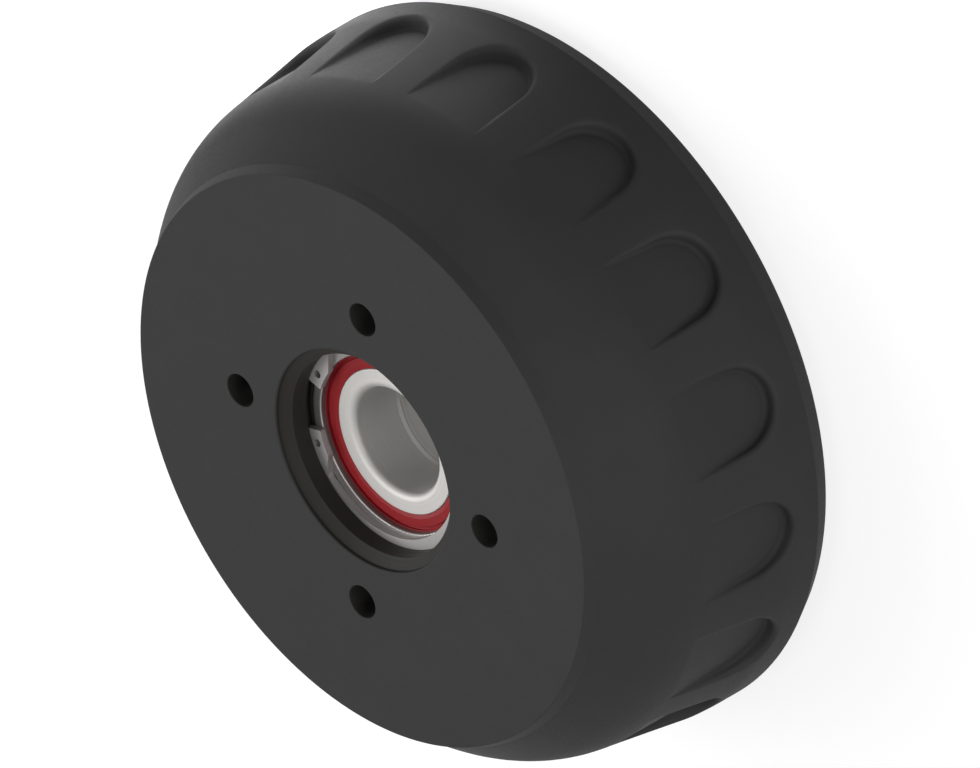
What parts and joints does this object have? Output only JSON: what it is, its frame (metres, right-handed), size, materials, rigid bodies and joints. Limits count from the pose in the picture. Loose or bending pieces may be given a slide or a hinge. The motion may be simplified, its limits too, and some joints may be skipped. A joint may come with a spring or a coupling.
{
  "type": "brake drum with wheel bearing",
  "caption": "Ribbed cast trailer brake drum with wheel bolt holes and a sealed ball bearing held by a snap ring in its hub.",
  "frame": {"origin": "centre of the open rim's end plane, on which the drum lies", "axes": "+Z along the axis of rotation, from the open rim to the wheel face; +X and +Y through wheel bolt holes, the snap ring's gap at -X"},
  "size_m": [0.2248, 0.2248, 0.0831],
  "materials": {
    "drum_iron": "matt black coated casting",
    "snap_ring_steel": "satin spring steel",
    "bearing_steel": "ground bright steel",
    "ball_steel": "polished steel",
    "clip_steel": "dark spring steel",
    "seal_rubber": "smooth red rubber",
    "cage_plastic": "natural polyamide"
  },
  "bodies": {
    "drum": {"brake_drum": "drum_iron", "snap_ring": "snap_ring_steel", "bearing_outer_ring": "bearing_steel", "front_seal": "seal_rubber", "rear_seal": "seal_rubber"},
    "inner_rings": {"front_inner_ring": "bearing_steel", "rear_inner_ring": "bearing_steel", "inner_ring_clip": "clip_steel"},
    "front_ball_row": {"front_cage": "cage_plastic", "front_ball_01": "ball_steel", "front_ball_02": "ball_steel", "front_ball_03": "ball_steel", "front_ball_04": "ball_steel", "front_ball_05": "ball_steel", "front_ball_06": "ball_steel", "front_ball_07": "ball_steel", "front_ball_08": "ball_steel", "front_ball_09": "ball_steel", "front_ball_10": "ball_steel", "front_ball_11": "ball_steel", "front_ball_12": "ball_steel", "front_ball_13": "ball_steel"},
    "rear_ball_row": {"rear_cage": "cage_plastic", "rear_ball_01": "ball_steel", "rear_ball_02": "ball_steel", "rear_ball_03": "ball_steel", "rear_ball_04": "ball_steel", "rear_ball_05": "ball_steel", "rear_ball_06": "ball_steel", "rear_ball_07": "ball_steel", "rear_ball_08": "ball_steel", "rear_ball_09": "ball_steel", "rear_ball_10": "ball_steel", "rear_ball_11": "ball_steel", "rear_ball_12": "ball_steel", "rear_ball_13": "ball_steel"}
  },
  "joints": [
    {"name": "axle_spin", "type": "hinge", "parent": "drum", "child": "inner_rings", "pos_m": [0, 0, 0.0512], "axis": [0, 0, 1], "continuous": true},
    {"name": "front_row_orbit", "type": "hinge", "parent": "drum", "child": "front_ball_row", "pos_m": [0, 0, 0.0598], "axis": [0, 0, 1], "continuous": true},
    {"name": "rear_row_orbit", "type": "hinge", "parent": "drum", "child": "rear_ball_row", "pos_m": [0, 0, 0.0426], "axis": [0, 0, 1], "continuous": true}
  ],
  "couplings": [
    {"joint": "front_row_orbit", "follows": "axle_spin", "ratio": 0.418},
    {"joint": "rear_row_orbit", "follows": "axle_spin", "ratio": 0.418}
  ]
}
